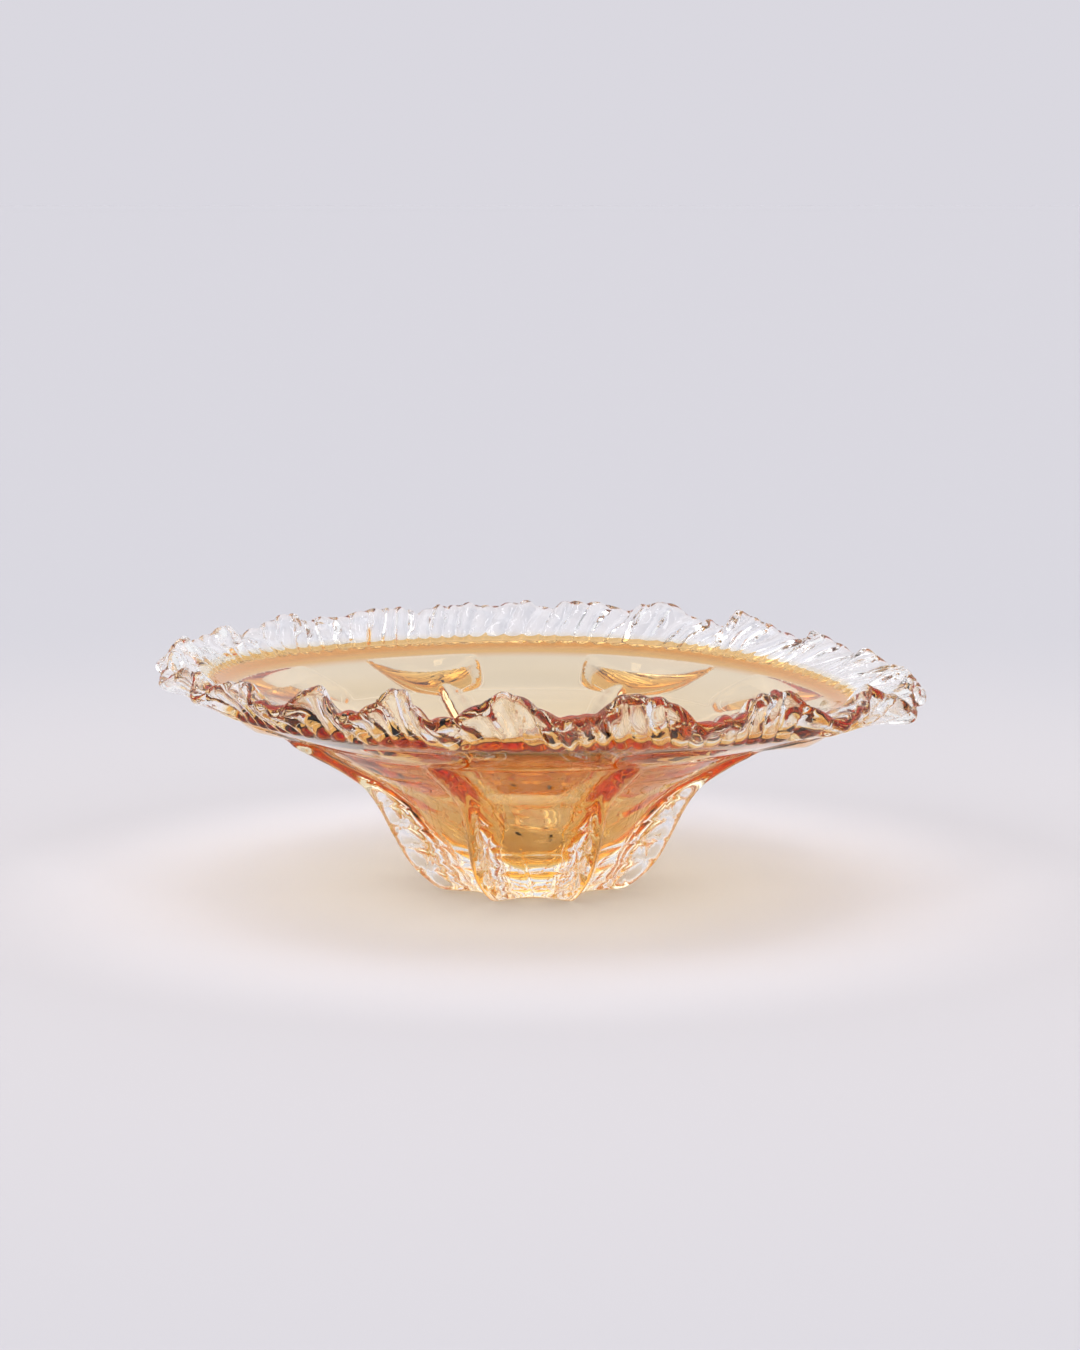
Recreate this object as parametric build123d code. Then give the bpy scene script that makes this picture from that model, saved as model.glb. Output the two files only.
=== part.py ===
from build123d import *
import math
import os

# Cased art glass bowl: an amber bowl, a clear casing, eight pinched fins and a ruffled clear rim trail.
# Millimetres, +Z up. The origin is the centre of the foot, on the table. +X runs along the longer side of the
# rim and -Y is the front. Azimuths are in degrees from +X.
# Every piece is one gather of glass. They were fused hot, so they meet face to face and nothing moves.

# --- Amber bowl: a cup that flares into a wide flange -------------------------------------------------------
# Outer and inner wall as (radius, height). The last point lies past the lip and only sets the slope there.
AMBER_OUTSIDE = [
    (0, 14), (27, 25), (44, 40), (60, 51), (80, 61.5), (100, 69.5), (120, 76.5), (148, 86.5), (225, 114),
]
AMBER_INSIDE = [
    (0, 20.5), (22, 31), (39, 46.5), (56, 58), (77, 68.5), (98, 76.5), (120, 83.5), (148, 93), (225, 120),
]
LIP_RADIUS = 148
# The flange sagged while hot: it droops on the right and lifts a little on the left.
SAG_TILT = 6
SAG_BOW = 2
WALL_HALF_SPAN = 156
WALL_STEPS = 16  # few enough that each wall stays one simple, smooth surface
WALL_TOLERANCE = 0.02

# --- Clear casing: thick under the cup, ending in a low step on the flange's underside ----------------------
CASING_OUTSIDE = [
    (34, 2.5), (41, 12), (47, 24), (55, 37), (66, 48), (82, 58), (92, 64), (99, 69.5), (103, 76),
]
FOOT_RADIUS = 31
HEEL_MIDDLE = (33.2, 0.8)
# A ground hollow under the foot: its edge, a point half way in, and its depth at the centre.
PONTIL_RADIUS = 16
PONTIL_MIDDLE = (8.8, 1.12)
PONTIL_DEPTH = 1.6

# --- Pinched fins: radial webs that run from the flange down to the table -----------------------------------
FIN_AZIMUTHS = {
    "fin_right_back": 22,
    "fin_back_right": 67,
    "fin_back_left": 112,
    "fin_left_back": 156,
    "fin_left_front": 199,
    "fin_front_left": 247,
    "fin_front_right": 294,
    "fin_right_front": 344,
}
# Outer edge in the fin's own radial plane, from the toe up to where it runs out under the flange.
FIN_EDGE = [
    (41, 0.4), (50, 6), (58.5, 15.5), (65, 27), (70.5, 38), (77, 47.5), (86, 55), (100, 63.5), (111, 70),
    (119, 80),
]
FIN_ROOT_RADIUS = 26
TOE_RADIUS = 39.8  # where the toe leaves the table
TOE_MIDDLE = (40.5, 0.1)
FIN_THICKNESS = 9
FIN_EDGE_FILLET = 2.6

# --- Rim trail: a ruffled ribbon fused along the lip --------------------------------------------------------
# Crests of the ruffle: azimuth, and height of the free edge over its mean there.
CRESTS = [
    (6, 3.0), (20, 3.0), (35, 3.5), (52, 4.5), (70, 3.5), (82, 1.5), (94, 1.2), (105, 1.2),
    (117, 1.5), (138, 2.8), (156, 3.0), (172, 4.0), (188, 4.0), (204, 3.5), (220, 3.5), (236, 3.5),
    (249, 4.5), (266, 5.0), (285, 4.5), (308, 5.5), (331, 5.0), (349, 3.5),
]
FUSED_GAP = 0.05  # keeps the ribbon's lofted face just clear of the lip that it was fused to
TRAIL_BASE_HEIGHT = 90.5
TRAIL_BASE_HALF = 5.5  # half the height of the face against the lip
TRAIL_EDGE_RADIUS = 159.3
TRAIL_RISE = 13.5
END_FLARE = 6  # further out at both ends of the length
RIGHT_PULL = 4  # pulled out to the right and in on the left
END_DROP = 5.5  # less rise at both ends of the length
RUFFLE_SWAY = 0.8  # outward lean of a valley for each millimetre of ruffle
TRAIL_EDGE_HALF = 2.4
SECTIONS_PER_WAVE = 6
WAVES_PER_SPAN = 2


def sag(x):
    """How far the flange stands above a level one at this place along the length."""
    share = x / LIP_RADIUS
    return -SAG_TILT * share**3 - SAG_BOW * share**2


def wall_slopes(points):
    """Slope at each point of a wall: level on the axis, then from its neighbours."""
    inner = [(b[1] - a[1]) / (b[0] - a[0]) for a, b in zip(points, points[2:])]
    last = (points[-1][1] - points[-2][1]) / (points[-1][0] - points[-2][0])
    return [0.0] + inner + [last]


def wall_height(points, slopes, radius):
    """Height of a wall at one radius, by a smooth curve through its points."""
    index = max(i for i in range(len(points) - 1) if points[i][0] <= radius)
    (near, low), (far, high) = points[index], points[index + 1]
    span = far - near
    t = (radius - near) / span
    return (
        (2 * t**3 - 3 * t**2 + 1) * low
        + (t**3 - 2 * t**2 + t) * span * slopes[index]
        + (3 * t**2 - 2 * t**3) * high
        + (t**3 - t**2) * span * slopes[index + 1]
    )


def space_above(points):
    """The space over one wall surface, as a tall solid whose underside is that wall."""
    slopes = wall_slopes(points)
    marks = [WALL_HALF_SPAN * (2 * step / WALL_STEPS - 1) for step in range(WALL_STEPS + 1)]
    grid = [
        [Vector(x, y, wall_height(points, slopes, math.hypot(x, y)) + sag(x)) for y in marks]
        for x in marks
    ]
    wall = Face.make_surface_from_array_of_points(grid, tol=WALL_TOLERANCE)
    return Solid.extrude(wall, Vector(0, 0, WALL_HALF_SPAN))


def in_plane(points):
    """(radius, height) pairs as points of the XZ plane."""
    return [Vector(radius, 0, height) for radius, height in points]


def make_casing_blank():
    """The casing's outside, filled solid."""
    side = Spline(*in_plane(CASING_OUTSIDE))
    heel_start = Vector(FOOT_RADIUS, 0, 0)
    heel = ThreePointArc(heel_start, *in_plane([HEEL_MIDDLE]), side @ 0)
    foot = Line(Vector(PONTIL_RADIUS, 0, 0), heel_start)
    pontil = ThreePointArc(Vector(0, 0, PONTIL_DEPTH), *in_plane([PONTIL_MIDDLE]), foot @ 0)
    top = Vector(0, 0, CASING_OUTSIDE[-1][1])
    outline = [pontil, foot, heel, side, Line(side @ 1, top), Line(top, pontil @ 0)]
    return revolve(make_face(outline), Axis.Z)


def make_fin_web():
    """One radial web in the XZ plane, before it is cut back to the glass that it grew out of."""
    edge = Spline(*in_plane(FIN_EDGE))
    toe = Line(Vector(FIN_ROOT_RADIUS, 0, 0), Vector(TOE_RADIUS, 0, 0))
    toe_round = ThreePointArc(toe @ 1, *in_plane([TOE_MIDDLE]), edge @ 0)
    top = Vector(FIN_ROOT_RADIUS, 0, FIN_EDGE[-1][1])
    outline = [toe, toe_round, edge, Line(edge @ 1, top), Line(top, toe @ 0)]
    web = extrude(make_face(outline), FIN_THICKNESS / 2, dir=(0, 1, 0), both=True)
    outer_edges = [e for e in web.edges() if e.geom_type == GeomType.BSPLINE]
    return fillet(outer_edges, FIN_EDGE_FILLET)


def ruffle(azimuth):
    """Height of the free edge over its mean: one cosine wave from each crest to the next."""
    for (start, height), (end, next_height) in zip(CRESTS, CRESTS[1:] + CRESTS[:1]):
        span = (end - start) % 360
        along = (azimuth - start) % 360
        if along <= span:
            share = along / span
            return (height + (next_height - height) * share) * math.cos(2 * math.pi * share)


def trail_section(azimuth):
    """The ribbon's closed outline in the radial plane at one azimuth."""
    side = math.cos(math.radians(azimuth))
    wave = ruffle(azimuth)
    base = Vector(LIP_RADIUS + FUSED_GAP, 0, TRAIL_BASE_HEIGHT + sag(LIP_RADIUS * side))
    edge_radius = TRAIL_EDGE_RADIUS + END_FLARE * side**2 + RIGHT_PULL * side - RUFFLE_SWAY * wave
    edge = Vector(edge_radius, 0, base.Z + TRAIL_RISE - END_DROP * side**2 + wave)
    along = (edge - base).normalized() * TRAIL_EDGE_HALF
    across = Vector(-along.Z, 0, along.X)
    low, high = base - Vector(0, 0, TRAIL_BASE_HALF), base + Vector(0, 0, TRAIL_BASE_HALF)
    outline = [
        Line(low, high),
        Line(high, edge + across),
        ThreePointArc(edge + across, edge + along, edge - across),
        Line(edge - across, low),
    ]
    return Wire(outline).rotate(Axis.Z, azimuth)


def make_rim_trail():
    """The whole ribbon, lofted a few waves at a time and joined end to end."""
    azimuths = []
    for (start, _), (end, _) in zip(CRESTS, CRESTS[1:] + CRESTS[:1]):
        span = (end - start) % 360
        azimuths += [start + span * step / SECTIONS_PER_WAVE for step in range(SECTIONS_PER_WAVE)]
    azimuths.append(CRESTS[0][0] + 360)
    step = SECTIONS_PER_WAVE * WAVES_PER_SPAN
    spans = [azimuths[first : first + step + 1] for first in range(0, len(azimuths) - 1, step)]
    trail = Part()
    for span in spans:
        trail += Solid.make_loft([trail_section(azimuth) for azimuth in span])
    return trail


def main():
    os.makedirs("parts", exist_ok=True)
    bowl_blank = Cylinder(LIP_RADIUS, 2 * WALL_HALF_SPAN) & space_above(AMBER_OUTSIDE)
    bowl = bowl_blank - space_above(AMBER_INSIDE)
    casing_blank = make_casing_blank()
    web = make_fin_web()
    nodes = {"amber_bowl": bowl, "clear_casing": casing_blank - bowl_blank}
    for name, azimuth in FIN_AZIMUTHS.items():
        nodes[name] = Rot(0, 0, azimuth) * web - casing_blank - bowl_blank
    nodes["rim_trail"] = make_rim_trail()
    for name, shape in nodes.items():
        export_step(shape, f"parts/{name}.step")


main()
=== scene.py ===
"""Cased art glass bowl: an amber bowl, a clear casing, eight pinched fins and a ruffled clear rim trail.

The glass is one smooth skin, found as the zero surface of a distance field in millimetres. It is then split
into its pieces. Where two pieces were fused, the faces between them are clear, so light doesn't bend there.
"""
import math

import bmesh
import bpy
import numpy as np
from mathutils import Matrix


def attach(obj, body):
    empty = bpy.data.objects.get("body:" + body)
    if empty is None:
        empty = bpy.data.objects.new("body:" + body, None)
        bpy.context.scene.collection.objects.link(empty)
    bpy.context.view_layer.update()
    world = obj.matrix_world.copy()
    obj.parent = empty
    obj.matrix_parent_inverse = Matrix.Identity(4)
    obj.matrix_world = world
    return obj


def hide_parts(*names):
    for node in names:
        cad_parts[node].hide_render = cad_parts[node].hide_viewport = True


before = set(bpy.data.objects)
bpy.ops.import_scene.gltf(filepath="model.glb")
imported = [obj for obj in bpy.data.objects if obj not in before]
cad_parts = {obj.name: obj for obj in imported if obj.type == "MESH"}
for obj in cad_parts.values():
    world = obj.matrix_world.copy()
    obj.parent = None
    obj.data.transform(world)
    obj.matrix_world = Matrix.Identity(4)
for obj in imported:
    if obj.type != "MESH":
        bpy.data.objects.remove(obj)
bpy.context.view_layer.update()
MM = 0.001

# --- Amber bowl. Lengths are in millimetres down to the skin, and a wall's points are (radius, height) -
AMBER_OUTSIDE = [
    (0, 14), (27, 25), (44, 40), (60, 51), (80, 61.5), (100, 69.5), (120, 76.5), (148, 86.5), (225, 114),
]
AMBER_INSIDE = [
    (0, 20.5), (22, 31), (39, 46.5), (56, 58), (77, 68.5), (98, 76.5), (120, 83.5), (148, 93), (225, 120),
]
LIP_RADIUS = 148
LIP_ROUND = 5
SAG_TILT = 6
SAG_BOW = 2
# The inside is slightly uneven. Its waves are (share, count round the bowl, radius for each radian).
SWELL = 0.35
SWELL_WAVES = [(1, 3, 17), (0.7, 5, -10), (0.5, 1, 6)]
SWELL_END = 140
SWELL_FADE = 20

# --- Clear casing --------------------------------------------------------------------------------------
CASING_OUTSIDE = [
    (0, 1.6), (8, 1.2), (16, 0), (24, 0), (30, 0.2), (34, 2.5), (41, 12), (47, 24), (55, 37), (66, 48),
    (82, 58), (92, 64), (99, 69.5), (103, 76), (110, 96),
]
CASING_EDGE_RADIUS = 106
FOOT_ROUND = 1.5

# --- Tong marks: dents in rows, on the fins and round the casing's base --------------------------------
MARK_PITCH = 8.5
MARK_LENGTH = 16
MARK_DEPTH = 1.7
MARK_TURN = math.radians(12)
MARK_SHIFT_ALONG = 3.7  # from one fin to the next
MARK_SHIFT_UP = 1.9
MARK_EDGE = 1
MARK_EDGE_FADE = 4
MARK_TOP = 62
MARK_TOP_FADE = 14
BASE_MARKS = 16
BASE_MARKS_RISE = 30  # height for each radian that the rows turn
BASE_MARKS_SHIFT = 3
BASE_MARKS_LOW_FADE = 4
BASE_MARKS_TOP = 32
BASE_MARKS_TOP_FADE = 10

# --- Fins: azimuth in degrees, and the outer edge as (radius, height) ----------------------------------
FIN_AZIMUTHS = {
    "fin_right_back": 22, "fin_back_right": 67, "fin_back_left": 112, "fin_left_back": 156,
    "fin_left_front": 199, "fin_front_left": 247, "fin_front_right": 294, "fin_right_front": 344,
}
FIN_EDGE = [
    (0, 0), (30, 0), (38, 0), (41, 0.4), (50, 6), (58.5, 15.5), (65, 27), (70.5, 38), (77, 47.5), (86, 55),
    (100, 63.5), (111, 70), (119, 80), (130, 102),
]
FIN_EDGE_LIMIT = 128
FIN_MIDDLE_RADIUS = 75
FIN_HALF_REACH = 50
FIN_HALF_EDGE = 3.3
FIN_HALF_GROWTH = 3.0
FIN_GROWTH_DEPTH = 26
FIN_GROWTH_POWER = 1.5
FIN_ROUND = 4.5
FIN_FILLET = 7
FIN_WANDER = 1.3
FIN_WANDER_RISE = 17  # height for each radian of the wander
FIN_WANDER_SHIFT = 2.1
FIN_WANDER_START = 12

# --- Lobes, where the fins run out under the flange ----------------------------------------------------
LOBE_START = 94
LOBE_END = 127
LOBE_LIMIT = 136
LOBE_BOW = 9  # how much further out a lobe starts at its sides
LOBE_SIDE_POWER = 0.8
LOBE_THIN = 1.2
LOBE_FILLET = 1.5
JOIN_FILLET = 2.5
# Turn from the fin in degrees, half width, depth at the end
LOBES = {
    "fin_right_back": (3, 31, 9), "fin_back_right": (-3, 33, 9), "fin_back_left": (2, 28, 8),
    "fin_left_back": (1, 32, 9), "fin_left_front": (-2, 26, 4.5), "fin_front_left": (1, 24, 2.2),
    "fin_front_right": (3, 26, 2.6), "fin_right_front": (-2, 28, 4.5),
}

# --- Rim trail. Crests of the ruffle are azimuth, and height over the mean -----------------------------
CRESTS = [
    (6, 3.0), (20, 3.0), (35, 3.5), (52, 4.5), (70, 3.5), (82, 1.5), (94, 1.2), (105, 1.2),
    (117, 1.5), (138, 2.8), (156, 3.0), (172, 4.0), (188, 4.0), (204, 3.5), (220, 3.5), (236, 3.5),
    (249, 4.5), (266, 5.0), (285, 4.5), (308, 5.5), (331, 5.0), (349, 3.5),
]
STEEP_FOLDS = {35: 0.22, 52: 0.2, 70: 0.25}  # share of the way to the next crest where the valley lies
TRAIL_BASE_RADIUS = 147.5
TRAIL_BASE_HEIGHT = 90.5
TRAIL_BASE_HALF = 4.6
TRAIL_EDGE_RADIUS = 159.3
TRAIL_EDGE_HALF = 3.3
TRAIL_RISE = 13.5
TRAIL_FILLET = 2.0
END_FLARE = 6
RIGHT_PULL = 4
END_DROP = 5.5
RUFFLE_SWAY = 0.8
# Waves round the rim are (share, count, phase in radians)
NOTCH_DEPTH = 0.5
NOTCH_WAVES = [(1, 29, 0.6)]
NOTCH_FINE_WAVE = (0.7, 53)
NOTCH_DRIFT_WAVES = [(2.4, 4, 0)]
FOLD_DEPTH = 1.2
FOLD_COUNT = 47
FOLD_FINE_COUNT = 31
CRIMP_COUNT = 118
CRIMP_DEPTH = 2.3
CRIMP_SLANT = 2.6
SLANT_WAVES = [(1.3, 6, 1), (0.8, 13, 0)]
BACK_SHIFT = 0.9  # how far the back's crimps lie from the front's, in radians
CRIMP_MEAN = 0.65
CRIMP_VARIATION = 0.35
CRIMP_VARIATION_COUNT = 7
CRIMP_VARIATION_PHASE = 2
CRIMP_AT_BASE = 0.7

# --- Skin, and the cutters that split it ---------------------------------------------------------------
SKIN_STEP = 1.25
SKIN_LOW = (-172, -170, -3)
SKIN_HIGH = (179, 168, 117)
CURVE_STEP = 0.25
SLOPE_REACH = 0.05
SMALLEST_SLOPE = 0.2
PULL_ROUNDS = 4
PULL_LIMIT = 0.5
TINY = 1e-9
PINCH_ROUNDS = 8
PINCH_FILL = -0.01
JOINT_OFFSET = 0.15
JOINT_GAP = 0.1
JOINT_INSET = 0.3
AIR_OVER = 1.2
RING_DROP = 1.6
RING_REACH = 1.5
CUTTER_TOP = 115
CUTTER_LOW = -10
CUTTER_CORE = 20
CUTTER_RINGS = 75
TURN_STEPS = 240
FIN_SAMPLES = 50

# --- Glass. Lengths are in metres from here on ---------------------------------------------------------
GLASS_IOR = 1.5
GLASS_ROUGHNESS = 0.004
STRIA_STRETCH = 0.35
AMBER_STRIAE = (0.00002, 60)  # height, and scale of the noise
CLEAR_STRIAE = (0.00003, 90)
AMBER_DENSITY = 66
AMBER_COLOUR = (0.95, 0.675, 0.023)
LIP_COLOUR = (0.9, 0.44, 0.09)
LIP_COLOUR_START = 0.131
LIP_COLOUR_END = 0.138
WHITE = (1, 1, 1)

# --- Studio --------------------------------------------------------------------------------------------
CAMERA_DISTANCE = 1.5
CAMERA_ELEVATION = 12.2
CAMERA_PITCH = 8.6
CAMERA_YAW = 0.14
SENSOR = 30
LENS = 74
FLOOR_HALF = 30
# The paper's colour by distance from the foot. Near the bowl it is painted paler, as painted light that
# fills in the shadow the bowl casts on the floor.
FLOOR_PAINTED_GLOW_STOPS = [
    (0.05, (0.94, 0.915, 0.945)), (0.15, (0.79, 0.76, 0.785)), (0.27, (0.615, 0.590, 0.608)),
    (0.95, (0.552, 0.542, 0.574)),
]
# The sky's colour by the sine of the elevation
HORIZON_COLOUR = (0.700, 0.687, 0.745)
CEILING_COLOUR = (0.56, 0.56, 0.59)
HORIZON_STOPS = [
    (0.0, HORIZON_COLOUR), (0.22, HORIZON_COLOUR), (0.36, CEILING_COLOUR), (1.0, CEILING_COLOUR),
]
# Azimuth, elevation, width, height in degrees, brightness
SOFTBOXES = [
    (90, 34, 150, 56, 0.85),
    (-90, 38, 100, 36, 0.4),
    (90, 84, 76, 56, 1.9),
    (190, 46, 36, 46, 1.8),
    (-8, 48, 32, 40, 1.5),
    (-58, 33, 9, 40, 5.0),
    (-127, 35, 9, 40, 5.0),
]
SOFTBOX_EDGE = 0.82
SOFTBOX_BLUE = 1.02

# Sockets of a colour Mix node, whose names repeat for each kind of value
MIX_FACTOR, MIX_A, MIX_B, MIX_RESULT = 0, 6, 7, 2


# --- Field helpers -------------------------------------------------------------------------------------
def unit_clip(values):
    """The values, held between 0 and 1."""
    return np.clip(values, 0, 1)


def smooth_curve(points):
    """A function for the height and slope factor of a smooth curve through (distance, height) points."""
    at, height = (np.array(column, float) for column in zip(*points))
    slope = np.gradient(height, at)
    slope[0] = 0.0
    fine = np.arange(at[0], at[-1], CURVE_STEP)
    index = np.clip(np.searchsorted(at, fine, "right") - 1, 0, len(at) - 2)
    span = at[index + 1] - at[index]
    t = (fine - at[index]) / span
    table = (
        (2 * t**3 - 3 * t**2 + 1) * height[index]
        + (t**3 - 2 * t**2 + t) * span * slope[index]
        + (3 * t**2 - 2 * t**3) * height[index + 1]
        + (t**3 - t**2) * span * slope[index + 1]
    )
    steepness = np.gradient(table, fine)

    def sample(distance):
        return np.interp(distance, fine, table), 1 / np.hypot(1, np.interp(distance, fine, steepness))

    return sample


def smooth_max(a, b, width):
    """The larger of two fields, rounded where they are nearly equal."""
    reach = np.maximum(width - np.abs(a - b), 0) / width
    return np.maximum(a, b) + reach**2 * width / 4


def smooth_min(a, b, width):
    return -smooth_max(-a, -b, width)


def angle_from(turn, azimuth):
    """The turn from an azimuth, between -pi and pi."""
    return np.angle(np.exp(1j * (turn - azimuth)))


def waves(turn, rows):
    return sum(share * np.sin(count * turn + phase) for share, count, phase in rows)


def tong_marks(along, up):
    """Depth of the dents in one side, from phases that run along and up the rows."""
    return MARK_DEPTH * np.sqrt(np.abs(np.sin(along) * np.sin(up)))


def sag(x):
    """How far the flange stands above a level one at this place along the length."""
    share = x / LIP_RADIUS
    return -SAG_TILT * share**3 - SAG_BOW * share**2


amber_outside = smooth_curve(AMBER_OUTSIDE)
amber_inside = smooth_curve(AMBER_INSIDE)
casing_outside = smooth_curve(CASING_OUTSIDE)
fin_edge = smooth_curve(FIN_EDGE)


# --- Fields, each about the distance to one body of glass, and negative inside it ----------------------
def amber_field(x, y, z):
    radius = np.hypot(x, y)
    turn = np.arctan2(y, x)
    level = z - sag(x)
    outer, outer_scale = amber_outside(radius)
    inner, inner_scale = amber_inside(radius)
    swell = sum(share * np.sin(count * turn + radius / reach) for share, count, reach in SWELL_WAVES)
    fade = unit_clip(radius / SWELL_FADE) * unit_clip((SWELL_END - radius) / SWELL_FADE)
    inner = inner + SWELL * swell * fade
    wall = smooth_max((outer - level) * outer_scale, (level - inner) * inner_scale, LIP_ROUND)
    return smooth_max(wall, radius - LIP_RADIUS, LIP_ROUND)


def below_amber(x, y, z):
    """Negative under the middle of the amber wall, where clear glass may be."""
    radius = np.hypot(x, y)
    middle = (amber_outside(radius)[0] + amber_inside(radius)[0]) / 2
    return z - sag(x) - middle


def casing_field(x, y, z):
    """The casing, with tong marks round its base."""
    radius = np.hypot(x, y)
    turn = np.arctan2(y, x)
    height, scale = casing_outside(radius)
    along = BASE_MARKS / 2 * turn + z / BASE_MARKS_RISE
    up = np.pi * (z + BASE_MARKS_SHIFT) / MARK_PITCH
    fade = unit_clip(z / BASE_MARKS_LOW_FADE) * unit_clip((BASE_MARKS_TOP - z) / BASE_MARKS_TOP_FADE)
    dent = tong_marks(along, up) * fade
    side = np.maximum((height - z) * scale + dent, radius - CASING_EDGE_RADIUS)
    return np.maximum(side, below_amber(x, y, z))


def fin_field(x, y, z):
    """The nearest fin: a web with a rounded edge, tong marks on both sides and a slight wander."""
    azimuths = np.radians(list(FIN_AZIMUTHS.values()))
    turn = np.arctan2(y, x)
    nearest = np.abs(angle_from(turn[..., None], azimuths)).argmin(axis=-1)
    azimuth = azimuths[nearest]
    out = x * np.cos(azimuth) + y * np.sin(azimuth)
    wander = FIN_WANDER * np.sin(z / FIN_WANDER_RISE + nearest * FIN_WANDER_SHIFT)
    across = y * np.cos(azimuth) - x * np.sin(azimuth) - wander * unit_clip(z / FIN_WANDER_START)
    height, scale = fin_edge(np.clip(out, 0, FIN_EDGE_LIMIT))
    depth = (z - height) * scale
    half = FIN_HALF_EDGE + FIN_HALF_GROWTH * unit_clip(depth / FIN_GROWTH_DEPTH) ** FIN_GROWTH_POWER
    along = out * math.cos(MARK_TURN) + z * math.sin(MARK_TURN) + nearest * MARK_SHIFT_ALONG
    up = z * math.cos(MARK_TURN) - out * math.sin(MARK_TURN) + nearest * MARK_SHIFT_UP
    fade = unit_clip((depth - MARK_EDGE) / MARK_EDGE_FADE) * unit_clip((MARK_TOP - z) / MARK_TOP_FADE)
    half = half - tong_marks(np.pi * along / MARK_LENGTH, np.pi * up / MARK_PITCH) * fade
    web = smooth_max(np.abs(across) - half, -depth, FIN_ROUND)
    web = np.maximum(web, np.abs(out - FIN_MIDDLE_RADIUS) - FIN_HALF_REACH)
    return np.maximum(web, below_amber(x, y, z))


def lobe_field(x, y, z):
    """Clear glass that thickens outwards under the flange, at each fin, then ends in a rounded step."""
    radius = np.hypot(x, y)
    turn = np.arctan2(y, x)
    depth = np.zeros(radius.shape)
    for name, (lean, half_width, most) in LOBES.items():
        offset = angle_from(turn, math.radians(FIN_AZIMUTHS[name] + lean))
        aside = np.clip(LOBE_END * offset / half_width, -1, 1)
        ramp = unit_clip((radius - LOBE_START - LOBE_BOW * aside**2) / (LOBE_END - LOBE_START))
        step = unit_clip((LOBE_LIMIT - radius) / (LOBE_LIMIT - LOBE_END))
        depth = np.maximum(depth, most * ramp * np.sqrt(step) * (1 - aside**2) ** LOBE_SIDE_POWER)
    under, scale = amber_outside(radius)
    clear_of_flange = JOIN_FILLET * (1 - unit_clip(depth / LOBE_THIN))
    wedge = (under + sag(x) - depth - z) * scale + clear_of_flange
    wedge = np.maximum(wedge, radius - LOBE_LIMIT)
    return np.maximum(wedge, below_amber(x, y, z))


def ruffle(degrees):
    """Height of the trail's free edge over its mean, from one crest to the next."""
    starts = np.array([start for start, _ in CRESTS], float)
    heights = np.array([height for _, height in CRESTS])
    valleys = np.array([STEEP_FOLDS.get(start, 0.5) for start, _ in CRESTS])
    index = (np.searchsorted(starts, degrees, "right") - 1) % len(CRESTS)
    following = (index + 1) % len(CRESTS)
    span = (starts[following] - starts[index]) % 360
    share = (degrees - starts[index]) % 360 / span
    valley = valleys[index]
    falling = 0.5 * share / valley
    rising = 0.5 + 0.5 * (share - valley) / (1 - valley)
    phase = np.where(share < valley, falling, rising)
    return (heights[index] + (heights[following] - heights[index]) * share) * np.cos(2 * np.pi * phase)


def trail_reach(turn):
    """How far out of its base, and how far up, the trail's free edge lies."""
    side = np.cos(turn)
    wave = ruffle(np.degrees(turn) % 360)
    edge_radius = TRAIL_EDGE_RADIUS + END_FLARE * side**2 + RIGHT_PULL * side - RUFFLE_SWAY * wave
    fine_share, fine_count = NOTCH_FINE_WAVE
    fine_notch = fine_share * np.sin(fine_count * turn + waves(turn, NOTCH_DRIFT_WAVES))
    notch = NOTCH_DEPTH * (waves(turn, NOTCH_WAVES) + fine_notch)
    return edge_radius - TRAIL_BASE_RADIUS, TRAIL_RISE - END_DROP * side**2 + wave + notch


def trail_field(x, y, z):
    """The ribbon: in each radial plane, a tapering bar from the lip to the free edge, with creases."""
    turn = np.arctan2(y, x)
    out, up = trail_reach(turn)
    length = np.hypot(out, up)
    from_base = np.hypot(x, y) - TRAIL_BASE_RADIUS
    above_base = z - TRAIL_BASE_HEIGHT - sag(LIP_RADIUS * np.cos(turn))
    along = (from_base * out + above_base * up) / length
    across = (above_base * out - from_base * up) / length
    share = unit_clip(along / length)
    slant = CRIMP_SLANT * share + waves(turn, SLANT_WAVES)
    bend = np.sin(FOLD_COUNT * turn + slant) + 0.5 * np.sin(FOLD_FINE_COUNT * turn - 2 * slant)
    fold = FOLD_DEPTH * bend * share
    half = TRAIL_BASE_HALF + (TRAIL_EDGE_HALF - TRAIL_BASE_HALF) * share
    face = np.where(across > fold, 0.0, BACK_SHIFT)
    crease = 1 - np.abs(np.sin(CRIMP_COUNT / 2 * turn + slant + face))
    variation = np.sin(CRIMP_VARIATION_COUNT * turn + CRIMP_VARIATION_PHASE + 3 * face)
    strength = (CRIMP_MEAN + CRIMP_VARIATION * variation) * unit_clip(CRIMP_AT_BASE + share)
    return np.hypot(along - share * length, across - fold) - half + CRIMP_DEPTH * crease * strength


def glass_field(x, y, z):
    """All the glass as one body, with a fillet at each join and the foot on the table."""
    clear = smooth_min(casing_field(x, y, z), fin_field(x, y, z), FIN_FILLET)
    clear = smooth_min(clear, lobe_field(x, y, z), LOBE_FILLET)
    clear = smooth_max(clear, -z, FOOT_ROUND)
    body = smooth_min(amber_field(x, y, z), clear, JOIN_FILLET)
    return smooth_min(body, trail_field(x, y, z), TRAIL_FILLET)


def field_slope(field, points):
    """The field's gradient at each point."""
    steps = SLOPE_REACH * np.eye(3)
    rises = [field(*(points + step).T) - field(*(points - step).T) for step in steps]
    return np.stack(rises, axis=-1) / (2 * SLOPE_REACH)


# --- Mesh from a field ---------------------------------------------------------------------------------
CORNERS = [(i, j, k) for i in (0, 1) for j in (0, 1) for k in (0, 1)]
EDGES = [(a, b) for a in CORNERS for b in CORNERS if a < b and sum(abs(m - n) for m, n in zip(a, b)) == 1]


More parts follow.
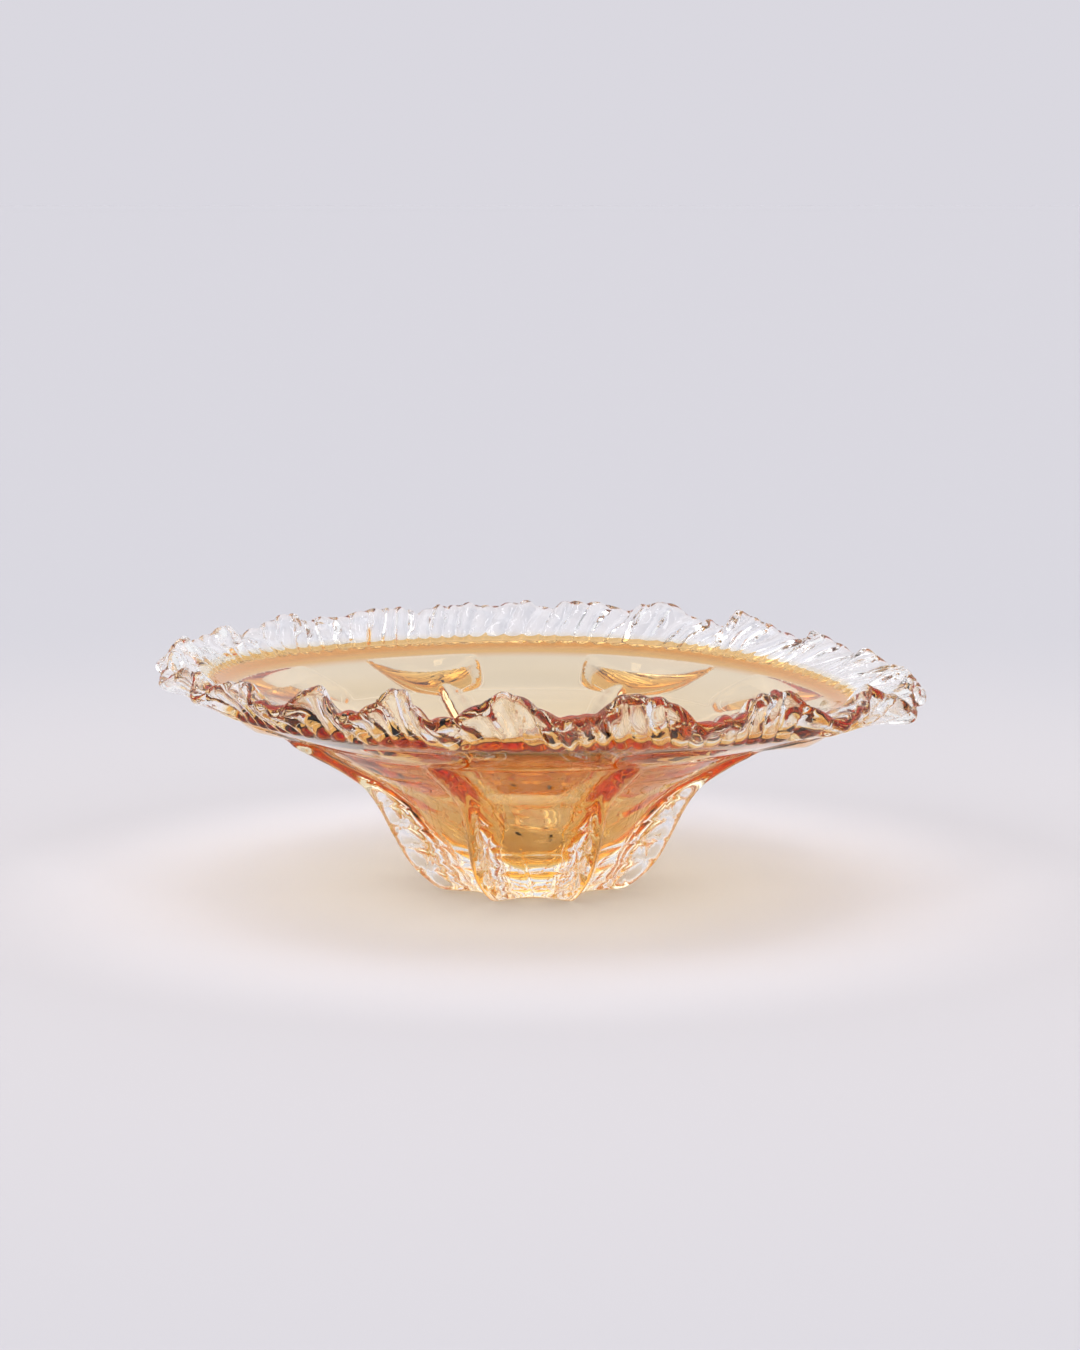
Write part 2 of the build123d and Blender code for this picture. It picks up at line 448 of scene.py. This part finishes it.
def sample_grid(field, axes):
    x, y = np.meshgrid(axes[0], axes[1], indexing="ij")
    return np.stack([field(x, y, np.full_like(x, height)) for height in axes[2]], axis=-1)


def window(start, size):
    """The part of a grid that starts at this corner and has this size."""
    return tuple(slice(first, first + length) for first, length in zip(start, size))


def fill_edge_pinches(values, inside, axis):
    """Fills a corner beside each place where glass meets glass only along an edge. Returns their number."""
    first, second = (axis + 1) % 3, (axis + 2) % 3
    size = list(inside.shape)
    size[first] -= 1
    size[second] -= 1
    steps = np.eye(3, dtype=int)
    corners = {(i, j): window(i * steps[first] + j * steps[second], size) for i in (0, 1) for j in (0, 1)}
    near, far, left, right = (inside[corners[at]] for at in ((0, 0), (1, 1), (0, 1), (1, 0)))
    both = near & far & ~left & ~right
    other = left & right & ~near & ~far
    values[corners[0, 1]][both] = PINCH_FILL
    values[corners[0, 0]][other] = PINCH_FILL
    return int(both.sum() + other.sum())


def fill_corner_pinches(values, inside, corner):
    """The same, for glass or air that meets itself only at a corner and its opposite."""
    size = [length - 1 for length in inside.shape]
    opposite = tuple(1 - c for c in corner)
    total = sum(inside[window(at, size)].astype(int) for at in CORNERS)
    here, there = (inside[window(at, size)] for at in (corner, opposite))
    lone = (total == 2) & here & there
    hole = (total == 6) & ~here & ~there
    beside = (1 - corner[0], corner[1], corner[2])
    values[window(beside, size)][lone] = PINCH_FILL
    values[window(corner, size)][hole] = PINCH_FILL
    return int(lone.sum() + hole.sum())


def fill_pinches(values):
    """Closes the places where the skin would pinch, so that it has two faces to an edge."""
    for _ in range(PINCH_ROUNDS):
        inside = values < 0
        found = sum(fill_edge_pinches(values, inside, axis) for axis in range(3))
        found += sum(fill_corner_pinches(values, inside, corner) for corner in CORNERS[:4])
        if not found:
            break
    return values


def cell_points(values, cells, axes):
    """One point per mixed cell: the mean of the places where its edges cross the surface."""
    total = np.zeros((len(cells), 3))
    count = np.zeros(len(cells))
    for a, b in EDGES:
        value_a, value_b = (values[tuple((cells + corner).T)] for corner in (a, b))
        crossing = (value_a < 0) != (value_b < 0)
        share = np.where(crossing, value_a / np.where(crossing, value_a - value_b, 1), 0)
        place = np.array(a) + share[:, None] * (np.array(b) - np.array(a))
        total += place * crossing[:, None]
        count += crossing
    low = np.array([axis[0] for axis in axes])
    return low + (cells + total / count[:, None]) * SKIN_STEP


def cell_faces(inside, index):
    """One quad round each grid edge that crosses the surface, wound to face outwards."""
    faces = []
    for axis in range(3):
        first, second = (axis + 1) % 3, (axis + 2) % 3
        length = inside.shape[axis] - 1
        here = np.take(inside, range(length), axis)
        there = np.take(inside, range(1, length + 1), axis)
        for sign in (True, False):
            at = np.argwhere((here != there) & (here == sign))
            at = at[(at[:, first] > 0) & (at[:, second] > 0)]
            corners = []
            for back_first, back_second in ((1, 1), (0, 1), (0, 0), (1, 0)):
                cell = at.copy()
                cell[:, first] -= back_first
                cell[:, second] -= back_second
                corners.append(index[tuple(cell.T)])
            quad = np.stack(corners, axis=-1)
            faces.append(quad if sign else quad[:, ::-1])
    return np.concatenate(faces)


def pull_to_surface(field, points):
    """Moves each point onto the zero surface, by the field's own slope there."""
    for _ in range(PULL_ROUNDS):
        slope = field_slope(field, points)
        steepness = np.maximum((slope**2).sum(axis=1), SMALLEST_SLOPE)
        move = slope * (field(*points.T) / steepness)[:, None]
        length = np.maximum(np.linalg.norm(move, axis=1), TINY)
        points = points - move * np.minimum(1, PULL_LIMIT * SKIN_STEP / length)[:, None]
    return points


def mesh_object(name, points, faces):
    """A new object from points in millimetres and lists of point numbers."""
    mesh = bpy.data.meshes.new(name)
    mesh.from_pydata((np.asarray(points) * MM).tolist(), [], faces)
    mesh.validate()
    piece = bpy.data.objects.new(name, mesh)
    bpy.context.scene.collection.objects.link(piece)
    return piece


def make_skin(name, field):
    """The field's zero surface, by one point in each grid cell that it passes through."""
    axes = [np.arange(low, high + SKIN_STEP, SKIN_STEP) for low, high in zip(SKIN_LOW, SKIN_HIGH)]
    values = fill_pinches(sample_grid(field, axes))
    inside = values < 0
    shape = tuple(length - 1 for length in inside.shape)
    count = sum(inside[window(corner, shape)].astype(int) for corner in CORNERS)
    cells = np.argwhere((count > 0) & (count < len(CORNERS)))
    index = np.full(shape, -1)
    index[tuple(cells.T)] = np.arange(len(cells))
    points = pull_to_surface(field, cell_points(values, cells, axes))
    return mesh_object(name, points, cell_faces(inside, index).tolist())


# --- Cutting -------------------------------------------------------------------------------------------
def ring_faces(low, high, low_count, high_count):
    """Faces between two rings that start at these points, where a ring of one point is on the axis."""
    steps = [(i, (i + 1) % TURN_STEPS) for i in range(TURN_STEPS)]
    if low_count == 1:
        return [(low, high + j, high + i) for i, j in steps]
    if high_count == 1:
        return [(low + i, low + j, high) for i, j in steps]
    return [(low + i, low + j, high + j, high + i) for i, j in steps]


def revolved_solid(name, profile, warp):
    """A closed mesh from (radius, height) points that start and end on the axis, with warped heights."""
    turn = np.linspace(0, 2 * np.pi, TURN_STEPS, endpoint=False)
    rings = []
    for radius, height in profile:
        x, y = radius * np.cos(turn), radius * np.sin(turn)
        rings.append([(0, 0, height)] if radius == 0 else list(zip(x, y, warp(radius, height, x))))
    counts = [len(ring) for ring in rings]
    starts = np.cumsum([0] + counts)
    faces = []
    for number in range(len(rings) - 1):
        faces += ring_faces(starts[number], starts[number + 1], counts[number], counts[number + 1])
    return mesh_object(name, [point for ring in rings for point in ring], faces)


def amber_cutter(name, grow):
    """The room that the amber takes, grown a little: the wall, and the air just over it."""
    radii = np.linspace(0, LIP_RADIUS - JOINT_INSET + grow, CUTTER_RINGS)
    under = [(r, h - grow) for r, h in zip(radii, amber_outside(radii)[0])]
    over = [(r, h + AIR_OVER + grow) for r, h in zip(radii, amber_inside(radii)[0])]
    return revolved_solid(name, under + over[::-1], lambda radius, height, x: height + sag(x))


def casing_cutter(name, grow):
    """The room that the casing takes, grown a little, with the blend along its edge under the flange."""
    radii = np.linspace(0, CASING_EDGE_RADIUS, CUTTER_RINGS)
    heights, scales = casing_outside(radii)
    depths = np.where(radii > CUTTER_CORE, heights - grow / scales, CUTTER_LOW)
    under = list(zip(radii, depths))

    def warp(radius, height, x):
        ring = amber_outside(radius)[0] + sag(x) - RING_DROP - grow
        return np.minimum(height, ring) if height < CUTTER_TOP else np.full_like(x, height)

    rim = radii[-1] + RING_REACH
    return revolved_solid(name, under + [(rim, under[-1][1]), (rim, CUTTER_TOP), (0, CUTTER_TOP)], warp)


def cut(piece, cutter, operation):
    """The piece with the cutter's room kept or taken away. New faces take the cutter's material."""
    result = piece.copy()
    result.data = piece.data.copy()
    bpy.context.scene.collection.objects.link(result)
    change = result.modifiers.new("cut", "BOOLEAN")
    change.operation = operation
    change.solver = "MANIFOLD"
    change.object = cutter
    change.material_mode = "TRANSFER"
    bpy.context.view_layer.update()
    mesh = bpy.data.meshes.new_from_object(result.evaluated_get(bpy.context.evaluated_depsgraph_get()))
    result.modifiers.clear()
    result.data = mesh
    return result


def with_faces(name, source, face_numbers):
    """A copy of the source with only some of its faces."""
    piece = source.copy()
    piece.data = source.data.copy()
    piece.name = name
    bpy.context.scene.collection.objects.link(piece)
    kept = set(face_numbers.tolist())
    body = bmesh.new()
    body.from_mesh(piece.data)
    gone = [face for face in body.faces if face.index not in kept]
    bmesh.ops.delete(body, geom=gone, context="FACES")
    body.to_mesh(piece.data)
    body.free()
    return piece


# --- Materials -----------------------------------------------------------------------------------------
def add_node(tree, kind, **values):
    """A node, with inputs set by name and settings set by attribute."""
    node = tree.nodes.new(kind)
    for name, value in values.items():
        if name in node.inputs:
            node.inputs[name].default_value = value
        else:
            setattr(node, name, value)
    return node


def empty_tree(owner):
    """The node tree of a material or world, with nothing in it."""
    owner.use_nodes = True
    owner.node_tree.nodes.clear()
    return owner.node_tree


def add_lip_colour(tree, place, glass):
    """The colour gathers along the lip, where the amber was rolled over."""
    flat = add_node(tree, "ShaderNodeVectorMath", operation="MULTIPLY")
    flat.inputs[1].default_value = (1, 1, 0)
    distance = add_node(tree, "ShaderNodeVectorMath", operation="LENGTH")
    ramp = tree.nodes.new("ShaderNodeMapRange")
    ramp.interpolation_type = "SMOOTHSTEP"
    ramp.inputs["From Min"].default_value = LIP_COLOUR_START
    ramp.inputs["From Max"].default_value = LIP_COLOUR_END
    blend = add_node(tree, "ShaderNodeMix", data_type="RGBA")
    blend.inputs[MIX_A].default_value = (*WHITE, 1)
    blend.inputs[MIX_B].default_value = (*LIP_COLOUR, 1)
    tree.links.new(place.outputs["Object"], flat.inputs[0])
    tree.links.new(flat.outputs[0], distance.inputs[0])
    tree.links.new(distance.outputs["Value"], ramp.inputs["Value"])
    tree.links.new(ramp.outputs["Result"], blend.inputs[MIX_FACTOR])
    tree.links.new(blend.outputs[MIX_RESULT], glass.inputs["Base Color"])


def add_striae(tree, place, glass, height, scale):
    """Fine upright waves in the surface, and a haze that varies with them."""
    stretch = tree.nodes.new("ShaderNodeMapping")
    stretch.inputs["Scale"].default_value = (1, 1, STRIA_STRETCH)
    noise = add_node(tree, "ShaderNodeTexNoise", Scale=scale, Detail=2.0, Roughness=0.45)
    raised = add_node(tree, "ShaderNodeBump", Strength=1.0, Distance=height)
    haze = tree.nodes.new("ShaderNodeMapRange")
    haze.inputs["To Min"].default_value = GLASS_ROUGHNESS * 0.5
    haze.inputs["To Max"].default_value = GLASS_ROUGHNESS * 1.5
    tree.links.new(place.outputs["Object"], stretch.inputs["Vector"])
    tree.links.new(stretch.outputs["Vector"], noise.inputs["Vector"])
    tree.links.new(noise.outputs["Fac"], raised.inputs["Height"])
    tree.links.new(noise.outputs["Fac"], haze.inputs["Value"])
    tree.links.new(raised.outputs["Normal"], glass.inputs["Normal"])
    tree.links.new(haze.outputs["Result"], glass.inputs["Roughness"])


def glass_material(name, striae, is_amber=False):
    """Glass whose outside has fine striae. Its fused faces are clear, with no bend and no gloss."""
    material = bpy.data.materials.new(name)
    tree = empty_tree(material)
    output = tree.nodes.new("ShaderNodeOutputMaterial")
    glass = add_node(tree, "ShaderNodeBsdfPrincipled", IOR=GLASS_IOR)
    glass.inputs["Transmission Weight"].default_value = 1
    glass.inputs["Base Color"].default_value = (*WHITE, 1)
    place = tree.nodes.new("ShaderNodeTexCoord")
    add_striae(tree, place, glass, *striae)
    fused = add_node(tree, "ShaderNodeAttribute", attribute_name="fused")
    passing = tree.nodes.new("ShaderNodeBsdfTransparent")
    choice = tree.nodes.new("ShaderNodeMixShader")
    tree.links.new(fused.outputs["Fac"], choice.inputs[0])
    tree.links.new(glass.outputs[0], choice.inputs[1])
    tree.links.new(passing.outputs[0], choice.inputs[2])
    tree.links.new(choice.outputs[0], output.inputs["Surface"])
    if is_amber:
        add_lip_colour(tree, place, glass)
        colour = (*AMBER_COLOUR, 1)
        inside = add_node(tree, "ShaderNodeVolumeAbsorption", Density=AMBER_DENSITY, Color=colour)
        tree.links.new(inside.outputs[0], output.inputs["Volume"])
    return material


# --- Building the pieces -------------------------------------------------------------------------------
def read_array(items, attribute, width=1, kind=float):
    """One attribute of a mesh's points, edges, faces or corners, as an array with a row for each."""
    values = np.empty(len(items) * width, kind)
    items.foreach_get(attribute, values)
    return values if width == 1 else values.reshape(-1, width)


def loose_parts(piece):
    """The piece's separate bodies, as arrays of face numbers, largest first."""
    mesh = piece.data
    edges = read_array(mesh.edges, "vertices", 2, int)
    label = np.arange(len(mesh.vertices))
    while True:
        lowest = np.minimum(label[edges[:, 0]], label[edges[:, 1]])
        new = label.copy()
        np.minimum.at(new, edges[:, 0], lowest)
        np.minimum.at(new, edges[:, 1], lowest)
        new = new[new]
        if (new == label).all():
            break
        label = new
    face_label = label[np.array([face.vertices[0] for face in mesh.polygons])]
    groups = [np.flatnonzero(face_label == value) for value in np.unique(face_label)]
    return sorted(groups, key=len, reverse=True)


def set_normals(mesh, points, packed, is_fused):
    """Fused faces are flat, and the rest take the glass surface's own normals, from the field's slope."""
    slope = field_slope(glass_field, points)
    smooth = (slope / np.maximum(np.linalg.norm(slope, axis=1), TINY)[:, None])[packed]
    sizes = read_array(mesh.polygons, "loop_total", kind=int)
    flat = np.repeat(read_array(mesh.polygons, "normal", 3), sizes, axis=0)
    on_joint = np.repeat(is_fused, sizes)[:, None] > 0
    mesh.shade_smooth()
    mesh.normals_split_custom_set(np.where(on_joint, flat, smooth).tolist())


def make_piece(name, source, face_numbers, material):
    """One piece from some of the source's faces, with its joint faces marked."""
    old = source.data
    corners = read_array(old.loops, "vertex_index", kind=int)
    starts = read_array(old.polygons, "loop_start", kind=int)[face_numbers]
    sizes = read_array(old.polygons, "loop_total", kind=int)[face_numbers]
    slots = read_array(old.polygons, "material_index", kind=int)[face_numbers]
    chosen = np.concatenate([corners[start : start + size] for start, size in zip(starts, sizes)])
    used, packed = np.unique(chosen, return_inverse=True)
    points = read_array(old.vertices, "co", 3)[used] / MM
    faces = [face.tolist() for face in np.split(packed, np.cumsum(sizes)[:-1])]
    piece = mesh_object(name, points, faces)
    is_fused = (slots > 0).astype(float)
    piece.data.attributes.new("fused", "FLOAT", "FACE").data.foreach_set("value", is_fused)
    set_normals(piece.data, points, packed, is_fused)
    piece.data.materials.append(material)
    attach(piece, "root")
    return piece


def nearest_fin(source, face_numbers):
    """The name of the fin whose azimuth these faces lie at."""
    sparse = face_numbers[:: max(1, len(face_numbers) // FIN_SAMPLES)]
    centre = np.mean([source.data.polygons[int(number)].center for number in sparse], axis=0)
    azimuth = math.degrees(math.atan2(centre[1], centre[0]))
    return min(FIN_AZIMUTHS, key=lambda name: abs((azimuth - FIN_AZIMUTHS[name] + 180) % 360 - 180))


def make_cutters():
    """Cutters for the amber's room and the casing's, and wider ones that leave a gap between two pieces."""
    joint = bpy.data.materials.new("joint")
    wide = JOINT_OFFSET + JOINT_GAP
    cutters = {
        "amber": amber_cutter("amber_room", JOINT_OFFSET),
        "amber_wide": amber_cutter("amber_room_wide", wide),
        "casing": casing_cutter("casing_room", JOINT_OFFSET),
        "casing_wide": casing_cutter("casing_room_wide", wide),
    }
    for cutter in cutters.values():
        cutter.data.materials.append(joint)
    return cutters


def build_glass():
    """The skin, split into amber, rim trail, casing and fins. Each piece replaces its CAD node."""
    amber_glass = glass_material("amber_glass", AMBER_STRIAE, is_amber=True)
    clear_glass = glass_material("clear_glass", CLEAR_STRIAE)
    skin = make_skin("skin", glass_field)
    skin.data.materials.append(clear_glass)
    cutters = make_cutters()
    amber = cut(skin, cutters["amber"], "INTERSECT")
    clear = cut(skin, cutters["amber_wide"], "DIFFERENCE")
    heights = {number: face.center.z for number, face in enumerate(clear.data.polygons)}
    rim, body = sorted(loose_parts(clear)[:2], key=lambda faces: heights[int(faces[0])], reverse=True)
    lower = with_faces("lower", clear, body)
    casing = cut(lower, cutters["casing"], "INTERSECT")
    fins = cut(lower, cutters["casing_wide"], "DIFFERENCE")
    sources = {"rim_trail": (clear, rim), "clear_casing": (casing, loose_parts(casing)[0])}
    for faces in loose_parts(fins):
        sources.setdefault(nearest_fin(fins, faces), (fins, faces))
    bowl = loose_parts(amber)[0]
    made = {"amber_bowl": make_piece("amber_bowl_glass", amber, bowl, amber_glass)}
    for node, (source, faces) in sources.items():
        made[node] = make_piece(node + "_glass", source, faces, clear_glass)
    for node, piece in made.items():
        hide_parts(node)
    for spare in [skin, amber, clear, lower, casing, fins, *cutters.values()]:
        bpy.data.objects.remove(spare)


# --- Studio --------------------------------------------------------------------------------------------
def make_camera():
    """A long lens, a little above the rim and aimed just over the bowl."""
    data = bpy.data.cameras.new("camera")
    data.sensor_fit = "AUTO"
    data.sensor_width = SENSOR
    data.lens = LENS
    camera = bpy.data.objects.new("camera", data)
    bpy.context.scene.collection.objects.link(camera)
    up = math.radians(CAMERA_ELEVATION)
    camera.location = (0, -CAMERA_DISTANCE * math.cos(up), CAMERA_DISTANCE * math.sin(up))
    camera.rotation_euler = (math.radians(90 - CAMERA_PITCH), 0, -math.radians(CAMERA_YAW))
    bpy.context.scene.camera = camera


def make_ramp(tree, stops):
    """A colour ramp with these (position, colour) stops."""
    ramp = tree.nodes.new("ShaderNodeValToRGB")
    elements = ramp.color_ramp.elements
    elements[0].position, elements[1].position = stops[0][0], stops[-1][0]
    elements[0].color, elements[1].color = (*stops[0][1], 1), (*stops[-1][1], 1)
    for position, colour in stops[1:-1]:
        elements.new(position).color = (*colour, 1)
    return ramp


def floor_paper_painted_glow():
    """Matt paper, painted paler near the bowl as painted light that fills in the shadow the bowl casts."""
    material = bpy.data.materials.new("floor_paper_painted_glow")
    tree = empty_tree(material)
    output = tree.nodes.new("ShaderNodeOutputMaterial")
    matt = tree.nodes.new("ShaderNodeBsdfDiffuse")
    place = tree.nodes.new("ShaderNodeTexCoord")
    distance = add_node(tree, "ShaderNodeVectorMath", operation="LENGTH")
    # Painted light: this ramp makes the paper paler near the foot, where the bowl's shadow falls.
    ramp = make_ramp(tree, FLOOR_PAINTED_GLOW_STOPS)
    ramp.color_ramp.interpolation = "EASE"
    tree.links.new(place.outputs["Object"], distance.inputs[0])
    tree.links.new(distance.outputs["Value"], ramp.inputs[0])
    tree.links.new(ramp.outputs[0], matt.inputs["Color"])
    tree.links.new(matt.outputs[0], output.inputs["Surface"])
    return material


def make_floor():
    mesh = bpy.data.meshes.new("floor")
    corners = [(x * FLOOR_HALF, y * FLOOR_HALF, 0) for x, y in ((-1, -1), (1, -1), (1, 1), (-1, 1))]
    mesh.from_pydata(corners, [], [(0, 1, 2, 3)])
    mesh.materials.append(floor_paper_painted_glow())
    floor = bpy.data.objects.new("floor", mesh)
    bpy.context.scene.collection.objects.link(floor)


def make_world():
    """A pale horizon, a duller ceiling and large softboxes, as a glass photographer sets them."""
    world = bpy.data.worlds.new("studio")
    bpy.context.scene.world = world
    tree = empty_tree(world)
    output = tree.nodes.new("ShaderNodeOutputWorld")
    background = tree.nodes.new("ShaderNodeBackground")
    place = tree.nodes.new("ShaderNodeTexCoord")
    axes = tree.nodes.new("ShaderNodeSeparateXYZ")
    ramp = make_ramp(tree, HORIZON_STOPS)
    tree.links.new(place.outputs["Generated"], axes.inputs[0])
    tree.links.new(axes.outputs["Z"], ramp.inputs[0])
    total = ramp.outputs[0]
    for softbox in SOFTBOXES:
        total = add_softbox(tree, place, total, *softbox)
    tree.links.new(total, background.inputs["Color"])
    tree.links.new(background.outputs[0], output.inputs["Surface"])


def add_softbox(tree, place, behind, azimuth, elevation, width, height, strength):
    """A rectangle of light with soft edges in one direction, over what is behind it, sized in degrees."""
    turn = add_node(tree, "ShaderNodeMapping", vector_type="TEXTURE")
    turn.inputs["Rotation"].default_value = (0, -math.radians(elevation), math.radians(azimuth))
    split = tree.nodes.new("ShaderNodeSeparateXYZ")
    tree.links.new(place.outputs["Generated"], turn.inputs["Vector"])
    tree.links.new(turn.outputs["Vector"], split.inputs[0])
    within_width = softbox_edge(tree, split.outputs["Y"], width)
    within_height = softbox_edge(tree, split.outputs["Z"], height)
    mask = join_values(tree, "MULTIPLY", within_width, within_height)
    mask = join_values(tree, "MULTIPLY", mask, join_values(tree, "GREATER_THAN", split.outputs["X"], 0))
    mix = add_node(tree, "ShaderNodeMix", data_type="RGBA")
    tree.links.new(mask, mix.inputs[MIX_FACTOR])
    tree.links.new(behind, mix.inputs[MIX_A])
    mix.inputs[MIX_B].default_value = (strength, strength, strength * SOFTBOX_BLUE, 1)
    return mix.outputs[MIX_RESULT]


def softbox_edge(tree, value, size):
    """1 within a softbox along one of its sides, and 0 past it."""
    reach = math.sin(math.radians(size / 2))
    away = add_node(tree, "ShaderNodeMath", operation="ABSOLUTE")
    edge = add_node(tree, "ShaderNodeMapRange", interpolation_type="SMOOTHSTEP")
    edge.inputs["From Min"].default_value = reach
    edge.inputs["From Max"].default_value = reach * SOFTBOX_EDGE
    tree.links.new(value, away.inputs[0])
    tree.links.new(away.outputs[0], edge.inputs["Value"])
    return edge.outputs["Result"]


def join_values(tree, operation, first, second):
    """The result of one maths step on an output and either another output or a number."""
    step = add_node(tree, "ShaderNodeMath", operation=operation)
    tree.links.new(first, step.inputs[0])
    if isinstance(second, bpy.types.NodeSocket):
        tree.links.new(second, step.inputs[1])
    else:
        step.inputs[1].default_value = second
    return step.outputs[0]


def set_light_paths():
    """Enough bounces for light to cross all the glass, and plain tones."""
    cycles = bpy.context.scene.cycles
    cycles.max_bounces = 32
    cycles.transmission_bounces = 28
    cycles.glossy_bounces = 8
    cycles.transparent_max_bounces = 32
    cycles.sample_clamp_indirect = 12
    bpy.context.scene.view_settings.view_transform = "Standard"


make_camera()
make_world()
make_floor()
build_glass()
set_light_paths()
